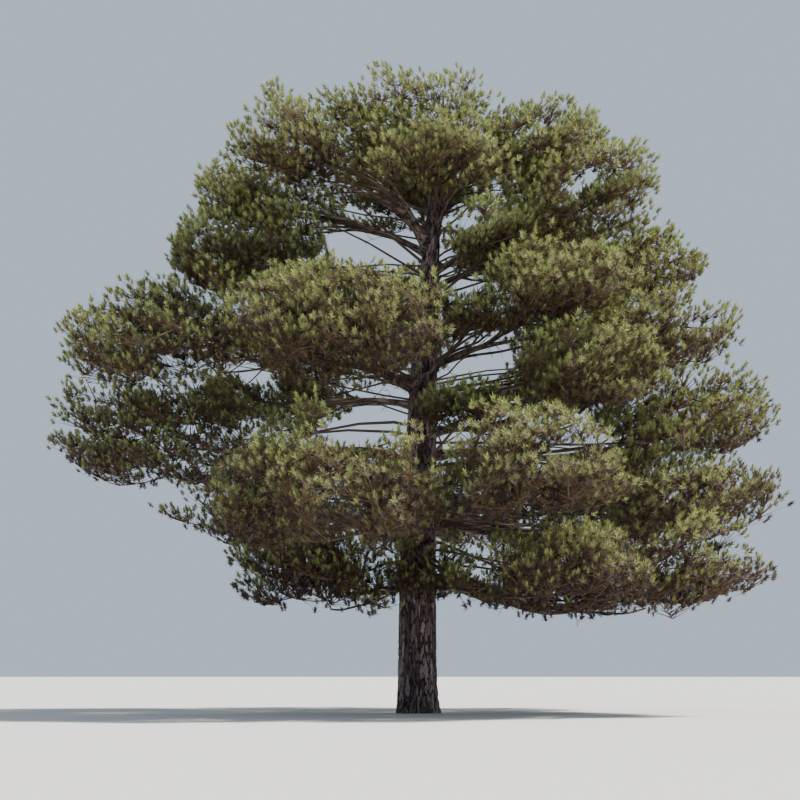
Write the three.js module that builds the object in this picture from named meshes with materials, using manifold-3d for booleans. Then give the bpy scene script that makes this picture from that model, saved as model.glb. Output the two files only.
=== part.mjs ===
// A full-grown black pine that stands in the open, 17 m tall and 19 m across, in millimetres, +Z up.
// One trunk runs from its flat cut at the ground through the crown. Boughs leave it all round, and each
// carries a mass of needles: a stem that forks into twigs by a seeded rule, every twig ending in a spray
// of needles, with a smaller core of dense growth that the sprays stand out of.

import * as THREE from "three";
import { mergeVertices } from "three/addons/utils/BufferGeometryUtils.js";
import Module from "manifold-3d";

const wasm = await Module();
wasm.setup();

// The trunk: radius and lean as functions of height, with five root ribs that fade out above the ground.
const trunkSize = {
  tip: 15900,
  taperEnd: 16200,
  taperPower: 1.8,
  taperRound: 0.9,
  radius: 480,
  lean: 620,
  leanHeight: 14900,
  leanPower: 2.2,
  bow: 90,
  bowLength: 9000,
  flare: 85,
  flareHeight: 420,
  ribs: 5,
  ribDepth: 0.45,
  sides: 15,
  steps: 17,
  ringCrowding: 1.35,
};

// A bough leaves the trunk below its mass, steeper the higher it stands, and is thicker the longer it
// is. Its bends are shares of its length.
const boughSize = {
  levelHeight: 5800,
  risePerMetre: 3.6,
  lowestRise: -12,
  highestRise: 40,
  rootRadius: 34,
  radiusPerMetre: 15.5,
  tipRadius: 46,
  taper: 0.8,
  firstBend: 0.33,
  lastBend: 0.3,
  lift: 0.06,
  sag: 0.07,
  wander: 0.05,
  sides: 5,
  steps: 5,
};

// A mass fills a domed pad, flatter below than above. Its bough comes in low on the side of the trunk.
// All but the density of tips are shares of the pad's half sizes.
const padShape = {
  underside: 0.75,
  edge: 1.06,
  margin: 0.03,
  entryAlong: -0.78,
  entryDown: -0.3,
  stemEnd: -0.05,
  stemDown: -0.15,
  stemRise: 0.35,
  rimReach: 0.84,
  domeReach: 0.68,
  domeCurve: 0.9,
  domePower: 0.4,
  domeLeast: 0.62,
  domeDrop: 0.22,
  tipsPerSquareMetre: 0.5,
  fewestTips: 5,
};
const coreShape = { share: 0.69, least: 0.28, lumps: 0.15, step: 0.04, margin: 0.12 };
const topStem = 450;
const stemSteps = 3;

// A twig sags from its fork and turns up at its end. A longer way back to the stem makes a fork dearer.
const twigSize = { radius: 30, endRadius: 13, bendAt: 0.55, sag: 0.14, detour: 0.35, long: 1900 };

// A spray of needles: its length and its teeth, as shares of that length, and how far it strays.
const spraySize = {
  length: 1300,
  teeth: 3,
  toothOut: 0.47,
  notchOut: 0.18,
  notchUp: 0.26,
  middleUp: 0.6,
  shortTooth: 0.25,
  vary: 0.16,
  sunk: 0.3,
  from: -0.6,
  upward: 0.8,
  outward: 0.65,
  stray: 0.22,
};

// A mass keeps this far from limbs and other masses, and two pieces further apart than "closeBy" aren't
// measured. Faces that fusing leaves thinner than "sliver" are merged away.
const clearance = 0.4;
const closeBy = 1;
const sliver = 0.05;
const boughSeeds = 500;
const coreSeeds = 900;
const goldenAngle = Math.PI * (3 - Math.sqrt(5));

// The masses of needles. Each row holds a name; where the middle is, to the right of the trunk, behind it
// and above the ground; and the pad's half length along its bough, half width and half rise. Tilt lifts
// the pad's outer end, in degrees; "leaves" is the height where a bough leaves that forks off low; "thick"
// makes a leader of a bough. A mass with "on" has no bough and grows on the trunk or its tip.
const masses = [
  ["top", -350, -350, 14770, 2700, 2650, 1950, { on: "tip" }],
  ["top_back", -200, 3000, 14100, 2250, 2550, 1700, { on: "trunk" }],
  ["top_left", -3050, -1000, 14250, 2000, 2200, 1500, { leaves: 12000, thick: 1.7 }],
  ["left_upper", -4100, 600, 13250, 1950, 2100, 1350, { leaves: 11800 }],
  ["top_right", 2950, 300, 14400, 2350, 2250, 1600, { tilt: 9, leaves: 12300, thick: 1.8 }],
  ["right_upper", 4300, -1300, 12900, 2200, 2100, 1500, { tilt: 13, leaves: 11300 }],
  ["left_high", -4450, -200, 11550, 2300, 2900, 1450, { leaves: 10800 }],
  ["right_high", 5400, 1500, 11400, 2700, 2250, 1600, { tilt: 13 }],
  ["right_front_high", 3300, -3200, 9950, 2200, 2000, 1250, { tilt: 12 }],
  ["right_small", 1900, -2200, 11500, 1300, 1200, 800, { on: "trunk" }],
  ["front_mid", 1500, -2700, 9600, 1450, 1300, 1000, { on: "trunk" }],
  ["back_high", 3100, 4000, 12800, 2550, 2400, 1700, { tilt: 10 }],
  ["left_mid", -6200, -1900, 9100, 2950, 2400, 1650, { tilt: -10 }],
  ["left_low", -6850, 600, 7000, 3050, 3000, 2200, { tilt: -3 }],
  ["front_left_mid", -2100, -4500, 8850, 2700, 3200, 1900],
  ["front_small", 1150, -2650, 7200, 1400, 1400, 650, { on: "trunk" }],
  ["right_mid", 5950, -850, 9200, 2600, 2300, 1450, { tilt: 12 }],
  ["right_long", 7000, 1800, 7500, 2950, 2500, 1650, { tilt: 9 }],
  ["right_front_mid", 4000, -3300, 7850, 2100, 1850, 1250, { tilt: 10 }],
  ["back_left_mid", -4300, 4700, 8900, 2800, 2700, 2000],
  ["back_mid", -1300, 5700, 10800, 2800, 3000, 2100],
  ["back_right_mid", 4700, 5100, 9500, 2850, 2750, 2100, { tilt: 9 }],
  ["front_left_low", -2100, -5900, 4800, 3000, 3150, 1800],
  ["left_under", -2700, -1300, 3300, 2300, 2400, 1400],
  ["front_right_low", 2550, -5600, 5250, 2450, 2200, 1700],
  ["front_right_under", 3500, -3900, 3100, 2450, 2300, 1350],
  ["right_lower", 6500, -500, 5100, 2950, 2400, 1700, { tilt: 8 }],
  ["right_bottom", 5800, -2650, 3100, 2850, 2200, 1500, { tilt: 6 }],
  ["back_left_low", -4100, 4600, 5300, 2600, 2600, 2100],
  ["back_low", 300, 6400, 5600, 2900, 3150, 2450],
  ["back_right_low", 5200, 5000, 5100, 2900, 2800, 2250],
  ["trunk_sprig", 250, -1900, 3250, 1350, 1250, 900, { on: "trunk" }],
  ["top_front", 600, -2300, 13650, 1800, 1700, 1050, { on: "trunk" }],
];

// The sky shows through the crown where a viewer's line of sight meets no needles. Each window is where
// such a line crosses the plane of the trunk: right, up, half width, half height and slant in degrees.
const viewer = new THREE.Vector3(-434, -45000, 1000);
const skyWindows = [
  { right: -1430, up: 12000, wide: 1200, high: 600, slant: -18 },
  { right: -220, up: 12860, wide: 390, high: 290, slant: 0 },
  { right: 1220, up: 12720, wide: 550, high: 260, slant: 6 },
  { right: 880, up: 11860, wide: 240, high: 240, slant: 0 },
  { right: 1320, up: 11030, wide: 780, high: 290, slant: 15 },
  { right: 1690, up: 9070, wide: 990, high: 420, slant: 6 },
  { right: 1950, up: 8150, wide: 470, high: 130, slant: 0 },
  { right: -4370, up: 8670, wide: 570, high: 440, slant: -15 },
  { right: -590, up: 7760, wide: 410, high: 520, slant: 0 },
  { right: -1720, up: 7110, wide: 1190, high: 390, slant: -6 },
  { right: 960, up: 7160, wide: 410, high: 100, slant: 0 },
  { right: 4460, up: 6820, wide: 1340, high: 230, slant: 12 },
];

const wordSize = 2 ** 32;
const degrees = Math.PI / 180;
const upward = new THREE.Vector3(0, 0, 1);
const point = (x, y, z) => new THREE.Vector3(x, y, z);
const { clamp, lerp } = THREE.MathUtils;

// Numbers from 0 to 1 that are the same on every run.
function seeded(seed) {
  let state = (seed * 7919 + 104729) % wordSize;
  return () => {
    state = (state * 1664525 + 1013904223) % wordSize;
    return state / wordSize;
  };
}

// A geometry with one vertex at each place, ready to be bent and made a solid.
function bare(geometry) {
  geometry.deleteAttribute("normal");
  geometry.deleteAttribute("uv");
  return mergeVertices(geometry, 1e-5);
}

function reshape(geometry, move) {
  const place = geometry.attributes.position;
  const vertex = new THREE.Vector3();
  for (let i = 0; i < place.count; i++) {
    vertex.fromBufferAttribute(place, i);
    place.setXYZ(i, ...move(vertex).toArray());
  }
  return geometry;
}

function solid(geometry) {
  const vertProperties = geometry.attributes.position.array;
  const triVerts = new Uint32Array(geometry.index.array);
  return new wasm.Manifold(new wasm.Mesh({ numProp: 3, vertProperties, triVerts }));
}

function geometryOf(manifold) {
  const mesh = manifold.getMesh();
  return new THREE.BufferGeometry()
    .setAttribute("position", new THREE.BufferAttribute(new Float32Array(mesh.vertProperties), 3))
    .setIndex(new THREE.BufferAttribute(new Uint32Array(mesh.triVerts), 1));
}

// A round limb along a curve: a closed cylinder whose rings are carried to the curve.
function limb(curve, radiusAt, sides, steps) {
  const { normals, binormals } = curve.computeFrenetFrames(steps);
  const centres = normals.map((_, i) => curve.getPointAt(i / steps));
  return reshape(bare(new THREE.CylinderGeometry(1, 1, 1, sides, steps)), (vertex) => {
    const ring = Math.round((vertex.y + 0.5) * steps);
    const radius = radiusAt(ring / steps);
    return centres[ring]
      .clone()
      .addScaledVector(binormals[ring], vertex.x * radius)
      .addScaledVector(normals[ring], vertex.z * radius);
  });
}

// The middle of the trunk at a height: it leans more the higher it gets, and bows a little to the back.
function trunkAxis(height) {
  const lean = trunkSize.lean * (height / trunkSize.leanHeight) ** trunkSize.leanPower;
  const bow = trunkSize.bow * (1 - Math.cos((2 * Math.PI * height) / trunkSize.bowLength));
  return point(lean, bow, height);
}

function trunkRadius(height) {
  const used = (height / trunkSize.taperEnd) ** trunkSize.taperPower;
  return trunkSize.radius * (1 - used) ** trunkSize.taperRound;
}

function trunkSolid(extra) {
  const { tip, flare, flareHeight, ribs, ribDepth, sides, steps, ringCrowding } = trunkSize;
  const tube = bare(new THREE.CylinderGeometry(1, 1, 1, sides, steps));
  const moved = reshape(tube, (vertex) => {
    const height = tip * (vertex.y + 0.5) ** ringCrowding;
    const angle = Math.atan2(-vertex.z, vertex.x);
    const foot = flare * Math.exp(-height / flareHeight) * (1 + ribDepth * Math.cos(ribs * angle));
    const radius = trunkRadius(height) + foot + extra;
    return trunkAxis(height).add(point(vertex.x * radius, -vertex.z * radius, 0));
  });
  return solid(moved);
}

// The pad of a mass: its middle, its own three directions, and its half sizes.
function padOf([name, right, back, up, long, wide, tall, more = {}], index) {
  const middle = point(right, back, up);
  const heading = Math.atan2(back, right);
  const tilt = (more.tilt ?? 0) * degrees;
  const along = point(
    Math.cos(heading) * Math.cos(tilt),
    Math.sin(heading) * Math.cos(tilt),
    Math.sin(tilt),
  );
  const across = point(-Math.sin(heading), Math.cos(heading), 0);
  const above = along.clone().cross(across);
  const at = (u, v, w) =>
    middle.clone()
      .addScaledVector(along, u * long)
      .addScaledVector(across, v * wide)
      .addScaledVector(above, w * tall * (w < 0 ? padShape.underside : 1));
  const share = (place) => {
    const out = place.clone().sub(middle);
    const w = out.dot(above) / tall;
    return Math.hypot(out.dot(along) / long, out.dot(across) / wide, w < 0 ? w / padShape.underside : w);
  };
  const area = Math.PI * long * wide * 1e-6;
  return { name, index, middle, along, across, area, at, share, ...more };
}

const pads = masses.map(padOf);

// A bough from the trunk's axis to where it enters its pad.
function boughCurve(pad) {
  const random = seeded(pad.index + boughSeeds);
  const entry = pad.at(padShape.entryAlong, 0, padShape.entryDown);
  const run = Math.hypot(entry.x, entry.y);
  const rise = clamp(
    ((entry.z - boughSize.levelHeight) / 1000) * boughSize.risePerMetre,
    boughSize.lowestRise,
    boughSize.highestRise,
  );
  const root = trunkAxis(pad.leaves ?? entry.z - run * Math.tan(rise * degrees));
  const span = entry.clone().sub(root);
  const length = span.length();
  const sideways = pad.across.clone().multiplyScalar((random() - 0.5) * 2 * boughSize.wander * length);
  const first = root.clone()
    .addScaledVector(span, boughSize.firstBend)
    .addScaledVector(upward, boughSize.lift * length)
    .add(sideways);
  const second = entry.clone()
    .addScaledVector(pad.along, -boughSize.lastBend * length)
    .addScaledVector(upward, -boughSize.sag * length)
    .sub(sideways);
  return new THREE.CubicBezierCurve3(root, first, second, entry);
}

// A bough, or with "extra" the space to be kept clear round it and past its tip.
function boughSolid(pad, extra) {
  const { v0, v1, v2, v3 } = curves.get(pad);
  const tip = v3.clone().addScaledVector(curves.get(pad).getTangent(1), extra);
  const curve = new THREE.CubicBezierCurve3(v0, v1, v2, tip);
  const thickness = boughSize.rootRadius + (boughSize.radiusPerMetre * curve.getLength()) / 1000;
  const rootRadius = thickness * (pad.thick ?? 1);
  const radiusAt = (t) => lerp(rootRadius, boughSize.tipRadius, t ** boughSize.taper) + extra;
  return solid(limb(curve, radiusAt, boughSize.sides, boughSize.steps));
}

// True where a line of sight through this place is kept open to the sky.
function inSkyWindow(place) {
  const sight = place.clone().sub(viewer);
  const seen = viewer.clone().addScaledVector(sight, -viewer.y / sight.y);
  return skyWindows.some(({ right, up, wide, high, slant }) => {
    const turn = slant * degrees;
    const x = seen.x - right;
    const z = seen.z - up;
    const along = (x * Math.cos(turn) + z * Math.sin(turn)) / wide;
    const over = (z * Math.cos(turn) - x * Math.sin(turn)) / high;
    return along * along + over * over < 1;
  });
}

// True where this place is the pad's own: inside it, and deeper in it than in any other.
function ownPlace(pad, place, margin) {
  const share = pad.share(place);
  const others = pads.filter((other) => other !== pad);
  return share < padShape.edge && others.every((other) => other.share(place) > share + margin);
}

// The tips of a pad's twigs: spread over it as seeds are in a sunflower, high in the middle and low
// at the rim.
function tipPlaces(pad, count, random) {
  const { rimReach, domeReach, domeCurve, domePower, domeLeast, domeDrop } = padShape;
  const phase = random() * 2 * Math.PI;
  return Array.from({ length: count }, (_, k) => {
    const angle = k * goldenAngle + phase;
    const out = Math.sqrt((k + 0.5) / count);
    const dome = (1 - domeCurve * out * out) ** domePower * lerp(domeLeast, 1, random());
    const rim = out * rimReach;
    return pad.at(rim * Math.cos(angle), rim * Math.sin(angle), (dome - domeDrop) * domeReach);
  });
}

// Grows twigs from a stem: each tip, the nearest to the stem first, joins the fork that costs it least,
// by the length of its twig and a share of the way from there back to the stem.
function growTwigs(stem, tips) {
  const forks = stem.map((place, i) => ({ place, back: i === 0 ? 0 : place.distanceTo(stem[0]) }));
  const order = [...tips].sort((a, b) => a.distanceTo(stem[0]) - b.distanceTo(stem[0]));
  return order.map((tip) => {
    const cost = (fork) => fork.place.distanceTo(tip) + twigSize.detour * fork.back;
    const fork = forks.reduce((best, next) => (cost(next) < cost(best) ? next : best));
    const length = fork.place.distanceTo(tip);
    const low = fork.place.clone()
      .lerp(tip, twigSize.bendAt)
      .addScaledVector(upward, -twigSize.sag * length);
    const curve = new THREE.QuadraticBezierCurve3(fork.place, low, tip);
    for (const t of [0.5, 1])
      forks.push({ place: curve.getPoint(t), back: fork.back + t * length });
    return { curve, tip, length };
  });
}

// A spray of needles: long teeth that stand out and up from a slim foot sunk in the twig.
function spraySolid(pad, tip, random) {
  const { length, teeth, toothOut, notchOut, notchUp, middleUp, shortTooth, sunk } = spraySize;
  const jitter = () => lerp(-spraySize.stray, spraySize.stray, random());
  const away = tip.clone().sub(pad.at(0, 0, spraySize.from)).normalize();
  const heading = point(jitter(), jitter(), jitter() + spraySize.upward)
    .addScaledVector(away, spraySize.outward)
    .normalize();
  const size = length * lerp(1 - spraySize.vary, 1 + spraySize.vary, random());
  const turn = new THREE.Quaternion().setFromUnitVectors(point(0, 1, 0), heading);
  const set = (x, y, z) => point(x, y - sunk, z).multiplyScalar(size).applyQuaternion(turn).add(tip);
  return solid(reshape(bare(new THREE.SphereGeometry(1, 2 * teeth, 2)), (vertex) => {
    if (vertex.y > 0.5) return set(0, middleUp, 0);
    if (vertex.y < -0.5) return set(0, 0, 0);
    const slot = Math.round((Math.atan2(vertex.z, vertex.x) / Math.PI) * teeth);
    const isTooth = Math.abs(slot) % 2 === 0;
    const out = isTooth ? toothOut : notchOut;
    return set(vertex.x * out, isTooth ? 1 - shortTooth * random() : notchUp, vertex.z * out);
  }));
}

// The dense middle of a mass: a lumpy pad, drawn in where it would reach into another mass or a window.
function coreSolid(pad, size) {
  const { least, lumps, step, margin } = coreShape;
  const random = seeded(pad.index + coreSeeds);
  const ball = bare(new THREE.IcosahedronGeometry(1, 1));
  return solid(reshape(ball, (vertex) => {
    const direction = vertex.clone();
    let share = size * lerp(1 - lumps, 1 + lumps, random());
    const place = () => pad.at(...direction.clone().multiplyScalar(share).toArray());
    while (share > least && (!ownPlace(pad, place(), margin) || inSkyWindow(place()))) share -= step;
    return place();
  }));
}

const near = (a, b, gap) => {
  const one = a.boundingBox();
  const two = b.boundingBox();
  return [0, 1, 2].every((i) => one.min[i] < two.max[i] + gap && two.min[i] < one.max[i] + gap);
};
const touches = (a, b) => near(a, b, closeBy) && a.minGap(b, closeBy) < clearance;
const volume = (piece) => piece.volume();
const largest = (piece) => piece.decompose().reduce((a, b) => (volume(b) > volume(a) ? b : a));

const trunk = trunkSolid(0);
const trunkClear = trunkSolid(clearance);
const carried = pads.filter((pad) => !pad.on);
const curves = new Map(carried.map((pad) => [pad, boughCurve(pad)]));
const boughs = new Map(carried.map((pad) => [pad, largest(boughSolid(pad, 0).subtract(trunkClear))]));
const limbs = [trunk, ...boughs.values()];
const limbsClear = [trunkClear, ...carried.map((pad) => boughSolid(pad, clearance))];

// The line of the stem that a mass grows from: on from its bough's tip, up from the trunk's tip, or out
// from the trunk.
function stemOf(pad) {
  const middle = pad.at(padShape.stemEnd, 0, padShape.stemDown);
  if (pad.on === "tip") {
    const foot = trunkAxis(trunkSize.tip).addScaledVector(upward, clearance);
    return [foot, foot.clone().addScaledVector(upward, topStem)];
  }
  if (pad.on === "trunk") {
    const run = Math.hypot(pad.middle.x, pad.middle.y);
    return [trunkAxis(pad.middle.z - padShape.stemRise * run), middle];
  }
  const curve = curves.get(pad);
  const foot = curve.getPoint(1).addScaledVector(curve.getTangent(1), clearance);
  return [foot, middle];
}

// A mass: its stem, core, twigs and sprays joined in one solid. Whatever would leave the pad, close a sky
// window, or come near a limb or another mass is left off, and so is a scrap that joins nothing.
function massSolid(pad, made) {
  const random = seeded(pad.index);
  const blocked = (piece) => [...limbs, ...made].some((other) => touches(piece, other));

  const [foot, end] = stemOf(pad);
  const heading = pad.on ? end.clone().sub(foot).normalize() : curves.get(pad).getTangent(1);
  const bend = foot.clone().addScaledVector(heading, foot.distanceTo(end) / 2);
  const stemCurve = new THREE.QuadraticBezierCurve3(foot, bend, end);
  const footRadius = pad.on === "tip" ? trunkRadius(trunkSize.tip) : boughSize.tipRadius;
  const stemRadius = (t) => lerp(footRadius, twigSize.radius, t);
  const stem = solid(limb(stemCurve, stemRadius, boughSize.sides, stemSteps));

  let size = coreShape.share;
  while (size > coreShape.least && made.some((other) => touches(coreSolid(pad, size), other)))
    size -= coreShape.step;
  let core = coreSolid(pad, size);
  limbs.forEach((other, i) => {
    if (near(core, other, closeBy)) core = core.subtract(limbsClear[i]);
  });

  const parts = [pad.on === "trunk" ? largest(stem.subtract(trunkClear)) : stem, largest(core)];
  const count = Math.max(padShape.fewestTips, Math.round(pad.area * padShape.tipsPerSquareMetre));
  const forks = [foot, stemCurve.getPoint(0.5), end];
  for (const twig of growTwigs(forks, tipPlaces(pad, count, random))) {
    const spray = spraySolid(pad, twig.tip, random);
    const radiusAt = (t) => lerp(twigSize.radius, twigSize.endRadius, t);
    const wood = solid(limb(twig.curve, radiusAt, 3, twig.length > twigSize.long ? 2 : 1));
    if (!ownPlace(pad, twig.tip, padShape.margin) || inSkyWindow(twig.tip)) continue;
    if (!blocked(spray) && !blocked(wood)) parts.push(spray, wood);
  }
  return largest(wasm.Manifold.union(parts).simplify(sliver));
}

const bark = new THREE.MeshStandardMaterial({ color: 0x5a4742, roughness: 0.95, metalness: 0 });
const foliage = new THREE.MeshStandardMaterial({ color: 0x56612f, roughness: 0.8, metalness: 0 });
const tree = new THREE.Group();

function addPiece(name, manifold, material) {
  const mesh = new THREE.Mesh(geometryOf(manifold), material);
  mesh.name = name;
  tree.add(mesh);
}

addPiece("trunk", trunk, bark);
for (const [pad, bough] of boughs) addPiece(`bough_${pad.name}`, bough, bark);
const made = [];
for (const pad of pads) {
  const mass = massSolid(pad, made);
  made.push(mass);
  addPiece(`needles_${pad.name}`, mass, foliage);
}

export default tree;
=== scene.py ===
import itertools
import math

import bpy
import numpy as np
from mathutils.kdtree import KDTree
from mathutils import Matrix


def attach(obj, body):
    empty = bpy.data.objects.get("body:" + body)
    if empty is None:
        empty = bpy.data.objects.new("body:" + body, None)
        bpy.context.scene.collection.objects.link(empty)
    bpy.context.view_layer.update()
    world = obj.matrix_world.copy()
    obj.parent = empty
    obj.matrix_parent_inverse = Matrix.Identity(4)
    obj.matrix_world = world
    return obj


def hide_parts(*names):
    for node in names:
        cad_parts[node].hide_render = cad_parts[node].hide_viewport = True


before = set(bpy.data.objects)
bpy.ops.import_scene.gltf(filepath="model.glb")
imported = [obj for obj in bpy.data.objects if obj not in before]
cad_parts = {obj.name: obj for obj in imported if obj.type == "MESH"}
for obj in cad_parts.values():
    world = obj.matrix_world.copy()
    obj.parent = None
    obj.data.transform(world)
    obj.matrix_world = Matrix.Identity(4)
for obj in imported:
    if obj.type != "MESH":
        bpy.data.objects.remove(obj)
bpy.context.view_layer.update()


# The trunk. One living stem whose bark is split by deep upright furrows into long plates, thickest near
# the ground. It leans a little more the higher it gets, and flares into ribs at its foot, where it is cut
# flat at ground level.

trunk_tip = 15.9
taper_end = 16.2
taper_power = 1.8
taper_round = 0.9
foot_radius = 0.48
lean = 0.62
lean_height = 14.9
lean_power = 2.2
bow = 0.09
bow_length = 9.0
flare = 0.085
flare_height = 0.42
ribs = 5
rib_depth = 0.45

trunk_sides = 168
trunk_cuts = (21, 22)
ring_crowding = 1.25
trunk_plate = (0.088, 0.42)
trunk_furrow_depth = 0.042
thin_bark = 0.3
furrow_width = 0.34
plate_raggedness = 0.4
plate_detail = 1.6
plate_base = 0.75
plate_roughness = 0.14
rough_detail = 5
line_points = 200


def trunk_axis(height):
    """The middle of the trunk at a height or at many, as places."""
    height = np.asarray(height, float)
    sideways = lean * (height / lean_height) ** lean_power
    backward = bow * (1 - np.cos(2 * math.pi * height / bow_length))
    return np.stack([sideways, backward, height], axis=-1)


def trunk_radius(height):
    return foot_radius * (1 - (height / taper_end) ** taper_power) ** taper_round


def chance(cells, seed):
    """A number from 0 to 1 for each whole-numbered cell, the same on every run."""
    x, y, z = np.asarray(cells).astype(np.int64).T
    mixed = (x * 73856093) ^ (y * 19349663) ^ (z * 83492791) ^ (seed * 40503)
    mixed = (mixed * 1103515245 + 12345) & 0x7FFFFFFF
    mixed = ((mixed >> 13) ^ mixed) * 69069 & 0x7FFFFFFF
    return (mixed >> 7) % 65536 / 65536


def smooth_noise(places, seed):
    """Smooth noise from -1 to 1 at each place, with bumps about one unit wide."""
    cells = np.floor(places)
    share = places - cells
    share = share * share * (3 - 2 * share)
    total = np.zeros(len(places))
    for corner in itertools.product((0, 1), repeat=3):
        weight = np.prod(np.where(corner, share, 1 - share), axis=1)
        total += weight * chance(cells + corner, seed)
    return total * 2 - 1


def lengths(vectors):
    return np.linalg.norm(vectors, axis=1)


def units(vectors):
    return vectors / lengths(vectors)[:, None]


def bark_plates(places, seed):
    """How far the bark stands out, from 0 deep in a furrow to 1 on a plate, and a shade for each plate."""
    wander = np.column_stack([smooth_noise(places * plate_detail, seed + k) for k in range(3)])
    warped = places + plate_raggedness * wander
    cells = np.floor(warped)
    nearest = np.full(len(places), 9.0)
    second = nearest.copy()
    shade = np.zeros(len(places))
    for step in itertools.product((-1, 0, 1), repeat=3):
        corner = cells + step
        middle = corner + np.column_stack([chance(corner, seed + 10 + k) for k in range(3)])
        distance = lengths(middle - warped)
        closer = distance < nearest
        second = np.where(closer, nearest, np.minimum(second, distance))
        shade = np.where(closer, chance(corner, seed + 20), shade)
        nearest = np.minimum(nearest, distance)
    edge = np.clip((second - nearest) / furrow_width, 0, 1)
    return edge * (2 - edge), shade


def ringed_cylinder(name, sides, cuts):
    """A closed cylinder of unit size on +Z, cut into rings, whose rings are then carried to a limb."""
    bpy.ops.object.select_all(action="DESELECT")
    bpy.ops.mesh.primitive_cylinder_add(vertices=sides, radius=1, depth=1, end_fill_type="TRIFAN")
    piece = bpy.context.object
    piece.name = name
    piece.data.name = name
    for sections in cuts:
        bpy.ops.object.mode_set(mode="EDIT")
        bpy.ops.mesh.select_mode(type="EDGE")
        bpy.ops.mesh.select_all(action="DESELECT")
        bpy.ops.object.mode_set(mode="OBJECT")
        heights = np.zeros(len(piece.data.vertices) * 3)
        piece.data.vertices.foreach_get("co", heights)
        heights = heights.reshape(-1, 3)[:, 2]
        ends = np.zeros(len(piece.data.edges) * 2, int)
        piece.data.edges.foreach_get("vertices", ends)
        rise = np.abs(np.diff(heights[ends.reshape(-1, 2)], axis=1)).ravel()
        piece.data.edges.foreach_set("select", rise > 1e-5)
        bpy.ops.object.mode_set(mode="EDIT")
        bpy.ops.mesh.subdivide(number_cuts=sections - 1)
        bpy.ops.object.mode_set(mode="OBJECT")
    return piece


def select(pieces):
    """Selects these pieces alone, and makes the first the active one."""
    bpy.ops.object.select_all(action="DESELECT")
    for piece in pieces:
        piece.select_set(True)
    bpy.context.view_layer.objects.active = pieces[0]


def bark_limb(piece, centre_at, radius_at, side_of, plate, furrow_depth, seed):
    """Carries a ringed cylinder to a limb's line and raises its bark plates, kept as an attribute."""
    places = np.zeros(len(piece.data.vertices) * 3)
    piece.data.vertices.foreach_get("co", places)
    x, y, z = places.reshape(-1, 3).T
    share = np.clip(z + 0.5, 0, 1)
    angle = np.arctan2(y, x)
    out = np.hypot(x, y)
    nudge = 1e-3
    along = units(centre_at(np.clip(share + nudge, 0, 1)) - centre_at(np.clip(share - nudge, 0, 1)))
    side = units(side_of - along * (along @ side_of)[:, None])
    above = np.cross(along, side)
    radius = radius_at(share, angle)
    steps = np.linspace(0, 1, line_points)
    travelled = np.concatenate([[0], np.cumsum(lengths(np.diff(centre_at(steps), axis=0)))])
    distance = np.interp(share, steps, travelled)
    wide, long = plate
    flat = np.column_stack([radius * np.cos(angle) / wide, radius * np.sin(angle) / wide, distance / long])
    relief, shade = bark_plates(flat, seed)
    rough = smooth_noise(flat * rough_detail, seed + 31)
    standing = (relief - plate_base + plate_roughness * rough) * furrow_depth(share)
    outward = np.cos(angle)[:, None] * side + np.sin(angle)[:, None] * above
    moved = centre_at(share) + outward * (out * (radius + standing))[:, None]
    if piece.name == "bark_trunk":
        moved[share <= 0, 2] = 0
    piece.data.vertices.foreach_set("co", moved.ravel())
    for label, values in (("relief", relief), ("plate_shade", shade)):
        attribute = piece.data.attributes.new(label, "FLOAT", "POINT")
        attribute.data.foreach_set("value", values.astype(np.float32))
    piece.data.update()
    select([piece])
    bpy.ops.object.shade_smooth()
    return piece


def new_node(nodes, kind, operation=None, **sockets):
    """A shader node with some of its sockets set: from_min is the one labelled From Min."""
    node = nodes.new("ShaderNode" + kind)
    if operation:
        node.operation = operation
    for label, value in sockets.items():
        node.inputs[label.replace("_", " ").title()].default_value = value
    return node


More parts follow.
